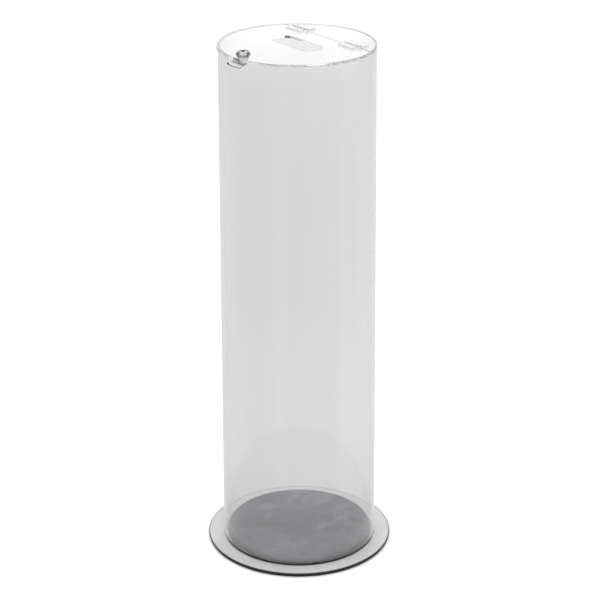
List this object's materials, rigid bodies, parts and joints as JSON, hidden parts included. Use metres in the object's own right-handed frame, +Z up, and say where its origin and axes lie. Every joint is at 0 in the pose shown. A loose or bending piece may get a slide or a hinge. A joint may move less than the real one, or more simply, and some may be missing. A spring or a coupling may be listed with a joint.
{
  "type": "floor-standing fare collection box",
  "caption": "Clear acrylic cylinder on a ballasted stainless base, with a hinged lockable lid and an oblong drop opening for fares or tickets.",
  "frame": {"origin": "centre of the underside of the foot pad, on the floor", "axes": "+Z up along the tube; -Y towards the lock (front); +Y towards the hinges (back); +X to the right seen from the front"},
  "size_m": [0.36, 0.36, 1.0192],
  "materials": {
    "clear_acrylic": "polished, clear",
    "satin_stainless": "fine satin brushed",
    "black_rubber": "matt",
    "ballast_steel": "dark grey satin, slightly mottled",
    "chromed_zinc": "bright plated",
    "plated_steel": "zinc plated",
    "brass": "stamped",
    "spring_steel": "drawn wire"
  },
  "bodies": {
    "stand": {"foot_pad": "black_rubber", "base_plate": "satin_stainless", "base_screw_1": "plated_steel", "base_screw_2": "plated_steel", "base_screw_3": "plated_steel", "base_screw_4": "plated_steel", "tube_floor": "clear_acrylic", "ballast_disc": "ballast_steel", "tube": "clear_acrylic", "rear_lid_segment": "clear_acrylic", "hinge_left_fixed_leaf": "clear_acrylic", "hinge_right_fixed_leaf": "clear_acrylic", "hinge_left_pin": "plated_steel", "hinge_right_pin": "plated_steel"},
    "lid": {"lid": "clear_acrylic", "hinge_left_lid_leaf": "clear_acrylic", "hinge_right_lid_leaf": "clear_acrylic", "lock_body": "chromed_zinc", "lock_face_cap": "chromed_zinc", "lock_nut_washer": "plated_steel", "lock_nut": "chromed_zinc"},
    "lock_core": {"lock_plug": "chromed_zinc", "lock_stop_washer": "plated_steel", "lock_cam": "plated_steel", "lock_cam_washer": "plated_steel", "lock_cam_screw": "plated_steel", "lock_wafer_spring_1": "spring_steel", "lock_wafer_spring_2": "spring_steel", "lock_wafer_spring_3": "spring_steel", "lock_wafer_spring_4": "spring_steel"},
    "wafer_1": {"lock_wafer_1": "brass"},
    "wafer_2": {"lock_wafer_2": "brass"},
    "wafer_3": {"lock_wafer_3": "brass"},
    "wafer_4": {"lock_wafer_4": "brass"}
  },
  "joints": [
    {"name": "lid_hinge", "type": "hinge", "parent": "stand", "child": "lid", "pos_m": [0, 0.07, 1.0162], "axis": [-1, 0, 0], "range_deg": [0, 175]},
    {"name": "lock_turn", "type": "hinge", "parent": "lid", "child": "lock_core", "pos_m": [0, -0.126, 1.0129], "axis": [0, 0, 1], "range_deg": [0, 90]},
    {"name": "wafer_slide_1", "type": "slide", "parent": "lock_core", "child": "wafer_1", "axis": [0, 1, 0], "range_m": [0, 0.0006], "deforming": ["lock_wafer_spring_1"]},
    {"name": "wafer_slide_2", "type": "slide", "parent": "lock_core", "child": "wafer_2", "axis": [0, 1, 0], "range_m": [0, 0.0006], "deforming": ["lock_wafer_spring_2"]},
    {"name": "wafer_slide_3", "type": "slide", "parent": "lock_core", "child": "wafer_3", "axis": [0, 1, 0], "range_m": [0, 0.0006], "deforming": ["lock_wafer_spring_3"]},
    {"name": "wafer_slide_4", "type": "slide", "parent": "lock_core", "child": "wafer_4", "axis": [0, 1, 0], "range_m": [0, 0.0006], "deforming": ["lock_wafer_spring_4"]}
  ]
}
